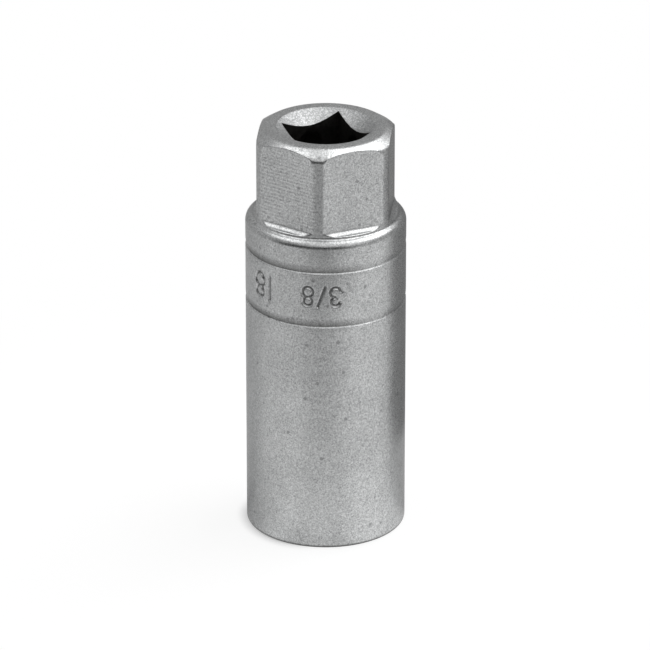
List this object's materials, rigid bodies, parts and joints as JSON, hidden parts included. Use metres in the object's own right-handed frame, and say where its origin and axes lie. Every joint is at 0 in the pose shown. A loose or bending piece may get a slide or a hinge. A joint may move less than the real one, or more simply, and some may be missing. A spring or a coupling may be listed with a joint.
{
  "type": "spark plug socket",
  "caption": "Deep round spark plug socket with a hexagonal head, a square drive hole, a hexagon recess and a rubber sleeve that grips the plug.",
  "frame": {"origin": "on the socket's axis, in the plane of the open end that it stands on", "axes": "+Z along the axis from the open end to the drive end; the drive square's walls face X and Y"},
  "size_m": [0.024, 0.024, 0.0638],
  "materials": {
    "satin_chrome": "steel with a blasted, satin chrome plating",
    "black_rubber": "moulded black rubber, matt"
  },
  "bodies": {
    "root": {"socket_body": "satin_chrome", "rubber_grip": "black_rubber"}
  },
  "joints": []
}
